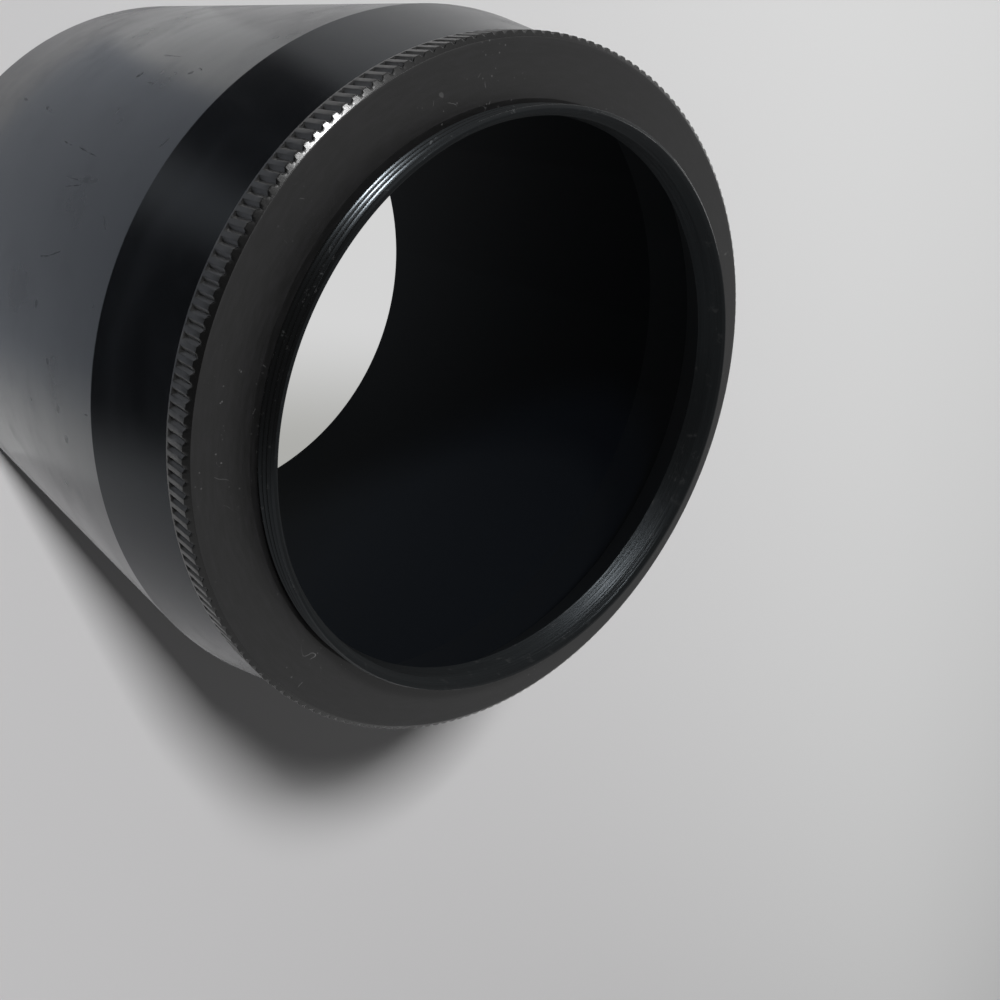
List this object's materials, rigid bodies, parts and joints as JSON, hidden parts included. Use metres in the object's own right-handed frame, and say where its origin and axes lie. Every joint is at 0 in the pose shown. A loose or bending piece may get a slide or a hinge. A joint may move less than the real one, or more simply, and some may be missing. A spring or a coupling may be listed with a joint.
{
  "type": "metal lens hood",
  "caption": "Screw-in black anodised metal lens hood: thin straight barrel, tapered neck, knurled mount ring with a fine male filter thread.",
  "frame": {"origin": "centre of the wide front rim's plane, on the optical axis", "axes": "+Z along the optical axis from the wide front rim towards the mount thread; the hood stands on its front rim"},
  "size_m": [0.0792, 0.0792, 0.08],
  "materials": {
    "satin_black_barrel": "satin black anodised outside, flat black inside",
    "matte_black_ring": "fine matte black anodised, knurled edge"
  },
  "bodies": {
    "root": {"hood_barrel": "satin_black_barrel", "mount_ring": "matte_black_ring"}
  },
  "joints": []
}
